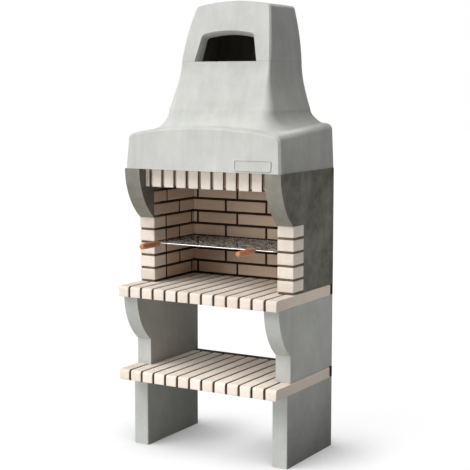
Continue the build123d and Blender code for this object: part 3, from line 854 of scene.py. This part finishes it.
def brick_wear_form():
    """Geometry nodes that wear a set of bricks: faces a little hollow and wavy, always inwards."""
    inputs = (
        ("Wear depth", "Float", WEAR_DEPTH),
        ("Wear size", "Float", WEAR_SIZE),
        ("Seed", "Float", WEAR_SEED),
    )
    tree, given, out = new_form("brick wear", inputs)
    place = add_node(tree, "GeometryNodeInputPosition").outputs[0]
    tone = {"Name": "brick_tone"}
    own_tone = add_node(tree, "GeometryNodeInputNamedAttribute", tone, data_type="FLOAT").outputs[0]
    seed = total(tree, product(tree, own_tone, TONE_SPREAD), given["Seed"])
    scale = math_of(tree, "DIVIDE", 1.0, given["Wear size"])
    inputs = {"Vector": place, "W": seed, "Scale": scale, "Detail": 3.0}
    waves = add_node(tree, "ShaderNodeTexNoise", inputs, noise_dimensions="4D").outputs[0]
    inwards = product(tree, waves, given["Wear depth"], -1.0)
    normal = add_node(tree, "GeometryNodeInputNormal").outputs[0]
    scaled = {0: normal, "Scale": inwards}
    offset = add_node(tree, "ShaderNodeVectorMath", scaled, operation="SCALE").outputs[0]
    moved = add_node(tree, "GeometryNodeSetPosition", {"Geometry": given["Geometry"], "Offset": offset})
    end_form(tree, moved.outputs[0], given, out)
    return tree


brick_wear = brick_wear_form()


def worn_bricks(name, replaced, nosed=False, side_inset=0.0):
    """Worn bricks in the places of some nodes' solids, narrower by an inset at each side if given."""
    inset = np.array([side_inset, 0.0, 0.0])
    points, faces, tones = [], [], []
    random = np.random.default_rng(sum(ord(letter) for letter in name))
    for node in replaced:
        for low, high in solid_boxes(node):
            start = len(points)
            corners, loops = rounded_box(low + inset, high - inset, nosed)
            points.extend(corners)
            faces.extend([[start + v for v in loop] for loop in loops])
            tones.extend([random.random()] * len(corners))
    slot = slot_of_node[replaced[0]]
    source = new_piece(name + "_source", points, faces, finish_of_slot[slot])
    attribute = source.data.attributes.new("brick_tone", "FLOAT", "POINT")
    attribute.data.foreach_set("value", np.array(tones, np.float32))
    made = grown(name, source, brick_wear, {"Seed": float(len(replaced)), "Finish": finish_of_slot[slot]})
    seat(made, "masonry")
    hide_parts(*replaced)


for slab in ("shelf", "table"):
    strips = [f"{slab}_brick_{number:02d}" for number in range(1, STRIPS_PER_SLAB + 1)]
    worn_bricks(f"{slab}_bricks", strips, nosed=True)
for side in ("left", "right"):
    for kind in ("lining", "pillar"):
        levels = [f"{kind}_bricks_{side}_{level}" for level in ("lower", "upper")]
        worn_bricks(f"{kind}_bricks_{side}", levels)
worn_bricks("back_bricks", ["back_lining_bricks"])
worn_bricks("lintel_front_bricks", ["lintel_bricks"], side_inset=LINTEL_INSET)


# Concrete, mortar and metal that keep their CAD shape
for node in nodes:
    nodes[node].data.materials.clear()
    nodes[node].data.materials.append(finish_of_slot[slot_of_node[node]])


# Woven mesh of the grill
def woven_mesh_form():
    """Geometry nodes that weave two sets of crimped wires, each over and under the other."""
    inputs = (
        ("Width", "Float", 0.7),
        ("Depth", "Float", 0.35),
        ("Cross pitch", "Float", 0.02),
        ("Long pitch", "Float", 0.02),
        ("Cross wires", "Int", 18),
        ("Long wires", "Int", 35),
        ("Cross start", "Float", 0.0),
        ("Long start", "Float", 0.0),
        ("Wire radius", "Float", 0.00125),
    )
    tree, given, out = new_form("woven wires", inputs)
    x, y, _ = axes_of(tree, add_node(tree, "GeometryNodeInputPosition").outputs[0])

    def wave(value, start, pitch):
        turn = math_of(tree, "DIVIDE", math_of(tree, "SUBTRACT", value, start), pitch)
        return math_of(tree, "COSINE", product(tree, turn, math.pi))

    along_wave = wave(x, given["Long start"], given["Long pitch"])
    cross_wave = wave(y, given["Cross start"], given["Cross pitch"])
    lift = product(tree, along_wave, cross_wave, given["Wire radius"])
    circle = {"Resolution": WIRE_SIDES, "Radius": given["Wire radius"]}
    profile = add_node(tree, "GeometryNodeCurvePrimitiveCircle", circle).outputs[0]

    def wire_set(own, crossing, length, along, across, side):
        half = product(tree, length, 0.5)
        ends = {
            "Start": axis_vector(tree, along, product(tree, half, -1.0)),
            "End": axis_vector(tree, along, half),
        }
        wire = add_node(tree, "GeometryNodeCurvePrimitiveLine", ends).outputs[0]
        steps = product(tree, given[crossing + " wires"], float(WIRE_STEPS))
        fine = add_node(tree, "GeometryNodeResampleCurve", {"Curve": wire, "Count": steps}).outputs[0]
        first = axis_vector(tree, across, given[own + " start"])
        step = axis_vector(tree, across, given[own + " pitch"])
        places = {"Count": given[own + " wires"], "Start Location": first, "Offset": step}
        row = add_node(tree, "GeometryNodeMeshLine", places).outputs[0]
        placed = add_node(tree, "GeometryNodeInstanceOnPoints", {"Points": row, "Instance": fine}).outputs[0]
        real = add_node(tree, "GeometryNodeRealizeInstances", {"Geometry": placed}).outputs[0]
        offset = axis_vector(tree, 2, product(tree, lift, side))
        bent = add_node(tree, "GeometryNodeSetPosition", {"Geometry": real, "Offset": offset}).outputs[0]
        skin = {"Curve": bent, "Profile Curve": profile, "Fill Caps": True}
        return add_node(tree, "GeometryNodeCurveToMesh", skin).outputs[0]

    joined = tree.nodes.new("GeometryNodeJoinGeometry")
    tree.links.new(wire_set("Cross", "Long", given["Width"], along=0, across=1, side=1.0), joined.inputs[0])
    tree.links.new(wire_set("Long", "Cross", given["Depth"], along=1, across=0, side=-1.0), joined.inputs[0])
    end_form(tree, joined.outputs[0], given, out)
    return tree


def woven_mesh():
    """The grill's mesh, woven on the places of its plain wires."""
    boxes = solid_boxes("grill_wires")
    cross = [(low, high) for low, high in boxes if high[0] - low[0] > high[1] - low[1]]
    along = [(low, high) for low, high in boxes if high[0] - low[0] <= high[1] - low[1]]
    cross_y = sorted((low[1] + high[1]) / 2 for low, high in cross)
    along_x = sorted((low[0] + high[0]) / 2 for low, high in along)
    low = np.min([box[0] for box in boxes], axis=0)
    high = np.max([box[1] for box in boxes], axis=0)
    middle = (low + high) / 2
    source = new_piece("woven_mesh_source", [(0, 0, 0)], [], None, smooth=False)
    inputs = {
        "Width": float(high[0] - low[0]),
        "Depth": float(high[1] - low[1]),
        "Cross pitch": float(cross_y[1] - cross_y[0]),
        "Long pitch": float(along_x[1] - along_x[0]),
        "Cross wires": len(cross),
        "Long wires": len(along),
        "Cross start": float(cross_y[0] - middle[1]),
        "Long start": float(along_x[0] - middle[0]),
        "Wire radius": float((high[2] - low[2]) / 4),
        "Finish": mesh_finish,
    }
    made = grown("woven_mesh", source, woven_mesh_form(), inputs)
    for vertex in made.data.vertices:
        vertex.co += Vector(middle)
    seat(made, "grill")
    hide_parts("grill_wires")


# Frame of the grill
def bent_rods_form():
    """Geometry nodes that turn edges into round rods with bent corners."""
    inputs = (
        ("Rod radius", "Float", 0.003),
        ("Bend radius", "Float", ROD_BEND),
        ("Sides", "Int", ROD_SIDES),
    )
    tree, given, out = new_form("bent rods", inputs)
    lines = add_node(tree, "GeometryNodeMeshToCurve", {"Mesh": given["Geometry"]}).outputs[0]
    bends = {"Curve": lines, "Radius": given["Bend radius"], "Count": ROD_BEND_STEPS}
    bent = add_node(tree, "GeometryNodeFilletCurve", bends, mode="POLY").outputs[0]
    circle = {"Resolution": given["Sides"], "Radius": given["Rod radius"]}
    profile = add_node(tree, "GeometryNodeCurvePrimitiveCircle", circle).outputs[0]
    skin = {"Curve": bent, "Profile Curve": profile, "Fill Caps": True}
    rods = add_node(tree, "GeometryNodeCurveToMesh", skin).outputs[0]
    end_form(tree, rods, given, out)
    return tree


def frame_rods():
    """The grill's round frame with its bent corners and the two shanks of the handles."""
    low, high = bounds_of("grill_frame")
    radius = (high[2] - low[2]) / 2
    z = (low[2] + high[2]) / 2
    front = bounds_of("grill_wires")[0][1]
    left, right, back = low[0] + radius, high[0] - radius, high[1] - radius
    points = [(left, front, z), (right, front, z), (right, back, z), (left, back, z)]
    edges = [(0, 1), (1, 2), (2, 3), (3, 0)]
    for side in ("left", "right"):
        handle_low, handle_high = bounds_of(f"handle_{side}")
        x = (handle_low[0] + handle_high[0]) / 2
        edges.append((len(points), len(points) + 1))
        points += [(x, front, z), (x, low[1], z)]
    mesh = bpy.data.meshes.new("frame_rods_source")
    mesh.from_pydata(points, edges, [])
    source = place_object("frame_rods_source", mesh)
    inputs = {"Rod radius": float(radius), "Finish": finish_of_slot["grill_steel"]}
    made = grown("frame_rods", source, bent_rods_form(), inputs)
    made.data.set_sharp_from_angle(angle=math.radians(60))
    seat(made, "grill")
    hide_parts("grill_frame")


def handle_profile(largest, length):
    """Radius and distance from the ferrule for each ring of a handle, from its bore to its rounded tip."""
    base, tip, rounding = BASE_SHARE * largest, TIP_SHARE * largest, TIP_ROUND_SHARE * largest
    profile = [(BORE_SHARE * base, 0.0), (base - HANDLE_BEVEL, 0.0), (base, HANDLE_BEVEL)]
    for step in range(1, HANDLE_RINGS + 1):
        share = step / HANDLE_RINGS
        distance = HANDLE_BEVEL + share * (length - rounding - HANDLE_BEVEL)
        end, reach = (tip, 1 - BELLY_PLACE) if share > BELLY_PLACE else (base, BELLY_PLACE)
        radius = largest - (largest - end) * ((share - BELLY_PLACE) / reach) ** 2
        for groove in GROOVE_PLACES:
            radius -= GROOVE_DEPTH * math.exp(-(((share - groove) * length / GROOVE_WIDTH) ** 2))
        profile.append((radius, distance))
    for step in range(1, HANDLE_TIP_RINGS + 1):
        turn = math.pi / 2 * step / HANDLE_TIP_RINGS
        profile.append((tip - rounding * (1 - math.cos(turn)), length - rounding * (1 - math.sin(turn))))
    return profile


def turned_handle(side):
    """A turned handle with a rounded tip and two fine grooves, inside its CAD shape."""
    low, high = bounds_of(f"handle_{side}")
    x, z = (low[0] + high[0]) / 2, (low[2] + high[2]) / 2
    profile = handle_profile((high[0] - low[0]) / 2 - HANDLE_CLEARANCE, high[1] - low[1])
    points = []
    for radius, distance in profile:
        for number in range(HANDLE_TURNS):
            angle = 2 * math.pi * number / HANDLE_TURNS
            points.append((x + radius * math.cos(angle), high[1] - distance, z + radius * math.sin(angle)))
    faces = [(a, d, c, b) for a, b, c, d in ring_quads(len(profile), HANDLE_TURNS)]
    faces.append(tuple(range(HANDLE_TURNS)))
    faces.append(tuple(range(len(points) - 1, len(points) - 1 - HANDLE_TURNS, -1)))
    made = new_piece(f"turned_handle_{side}", points, faces, finish_of_slot["handle_wood"])
    made.data.set_sharp_from_angle(angle=math.radians(50))
    seat(made, "grill")
    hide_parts(f"handle_{side}")


# Bare name plate
def plate_ring(inset, rise):
    """Points round the plate, in from its edge by an inset and out from the leaning mantel by a rise."""
    half_x, half_z = PLATE_SIZE[0] / 2, PLATE_SIZE[1] / 2
    radius = PLATE_CORNER - inset
    points = []
    for corner, (sx, sz) in enumerate(((1, 1), (-1, 1), (-1, -1), (1, -1))):
        for step in range(PLATE_CORNER_STEPS + 1):
            angle = math.pi / 2 * (corner + step / PLATE_CORNER_STEPS)
            x = PLATE_CENTRE[0] + sx * (half_x - PLATE_CORNER) + radius * math.cos(angle)
            z = PLATE_CENTRE[1] + sz * (half_z - PLATE_CORNER) + radius * math.sin(angle)
            y = hood_low[1] + MANTEL_LEAN * (z - hood_low[2]) - rise
            points.append((x, y, z))
    return points


def name_plate():
    """A bare plate with a raised rim, cast on the right of the leaning mantel."""
    rings = [
        plate_ring(0, -MM),
        plate_ring(0, RIM_RISE - RIM_SOFTNESS),
        plate_ring(RIM_SOFTNESS, RIM_RISE),
        plate_ring(PLATE_RIM - RIM_SOFTNESS, RIM_RISE),
        plate_ring(PLATE_RIM, RIM_RISE - RIM_SOFTNESS),
        plate_ring(PLATE_RIM + RIM_SOFTNESS, PLATE_RISE),
    ]
    count = len(rings[0])
    points = [point for ring in rings for point in ring]
    faces = ring_quads(len(rings), count)
    faces.append(tuple(range(len(points) - count, len(points))))
    made = new_piece("name_plate", points, faces, finish_of_slot["hood_concrete"])
    made.data.set_sharp_from_angle(angle=math.radians(35))
    seat(made, "masonry")


woven_mesh()
frame_rods()
for side in ("left", "right"):
    turned_handle(side)
name_plate()


# Floor, light and camera
def pale_floor():
    """A wide pale floor that keeps the shadow, with a painted shadow where the object shelters it."""
    made, tree, shader, _ = new_material("pale_floor")
    seen = add_node(tree, "ShaderNodeLightPath").outputs["Is Camera Ray"]
    lit_tone, seen_tone = ((tone, tone, tone, 1.0) for tone in (FLOOR_LIT_TONE, FLOOR_SEEN_TONE))
    lean = add_node(tree, "ShaderNodeCombineXYZ", dict(enumerate(SHADOW_LEAN))).outputs[0]
    inputs = {"Distance": SHADOW_REACH, "Normal": lean}
    # Ambient occlusion dims the floor's glow to the camera: a painted shadow
    shelter = add_node(tree, "ShaderNodeAmbientOcclusion", inputs, samples=SHADOW_SAMPLES).outputs["AO"]
    set_shader(
        tree,
        shader,
        Base_Color=mix_of(tree, seen, lit_tone, seen_tone),
        Roughness=0.9,
        Specular_IOR_Level=0.0,
        Emission_Color=(1.0, 1.0, 1.0, 1.0),
        Emission_Strength=product(tree, seen, ramp_of(tree, shelter, *SHADOW_RANGE, *SHADOW_TONES)),
    )
    corners = [(sx * FLOOR_REACH, sy * FLOOR_REACH, 0) for sx, sy in ((-1, -1), (1, -1), (1, 1), (-1, 1))]
    floor = new_piece("floor", corners, [(0, 1, 2, 3)], made, smooth=False)


def pale_surroundings(lit, seen):
    """World light of one strength, seen by the camera and in reflections as another."""
    world = bpy.data.worlds.new("surroundings")
    bpy.context.scene.world = world
    world.use_nodes = True
    tree = world.node_tree
    tree.nodes.clear()
    rays = add_node(tree, "ShaderNodeLightPath").outputs
    looked = math_of(tree, "MAXIMUM", rays["Is Camera Ray"], rays["Is Glossy Ray"])
    looked = math_of(tree, "MAXIMUM", looked, rays["Is Transmission Ray"])
    strength = ramp_of(tree, looked, 0.0, 1.0, lit, seen)
    background = add_node(tree, "ShaderNodeBackground", {"Color": (1.0, 1.0, 1.0, 1.0), "Strength": strength})
    add_node(tree, "ShaderNodeOutputWorld", {"Surface": background.outputs[0]})


def direction(azimuth, elevation):
    """Direction from the object, from degrees to the right of its front and above level."""
    a, e = math.radians(azimuth), math.radians(elevation)
    return Vector((math.sin(a) * math.cos(e), -math.cos(a) * math.cos(e), math.sin(e)))


def turn_from(made, back):
    """Turns a lamp or a camera to look away from a direction."""
    made.rotation_mode = "QUATERNION"
    made.rotation_quaternion = back.to_track_quat("Z", "Y")


def fill_lamp(name, place, aim, size, power):
    """A soft square lamp."""
    lamp = bpy.data.lights.new(name, "AREA")
    lamp.size = size
    lamp.energy = power
    made = place_object(name, lamp)
    made.location = place
    made.visible_camera = False
    turn_from(made, Vector(place) - Vector(aim))


def sun(name, azimuth, elevation, strength, softness):
    """A sun from a direction, with its softness in degrees."""
    lamp = bpy.data.lights.new(name, "SUN")
    lamp.energy = strength
    lamp.angle = math.radians(softness)
    turn_from(place_object(name, lamp), direction(azimuth, elevation))


def photo_camera():
    """The camera from where the object was photographed."""
    view = bpy.data.cameras.new("view")
    view.lens = CAMERA_LENS
    view.sensor_width = CAMERA_SENSOR
    view.clip_end = CAMERA_FAR_LIMIT
    made = place_object("view", view)
    back = direction(CAMERA_AZIMUTH, CAMERA_ELEVATION)
    made.location = CAMERA_TARGET + back * CAMERA_DISTANCE
    turn_from(made, back)
    bpy.context.scene.camera = made


pale_floor()
pale_surroundings(lit=0.06, seen=1.0)
sun("key", azimuth=-34.0, elevation=52.0, strength=2.60, softness=45.0)
sun("low_front", azimuth=-38.0, elevation=6.0, strength=0.96, softness=30.0)
sun("high_right", azimuth=60.0, elevation=80.0, strength=0.16, softness=30.0)
sun("back", azimuth=180.0, elevation=16.0, strength=1.15, softness=10.0)
fill_lamp("side_card", place=(1.5, 0.10, 0.84), aim=(0.45, 0.05, 0.84), size=0.6, power=3.35)
fill_lamp("front_card", place=(0.0, -1.9, 0.15), aim=(0.0, -0.2, 0.45), size=0.6, power=12.0)
photo_camera()
bpy.context.scene.view_settings.view_transform = "Standard"
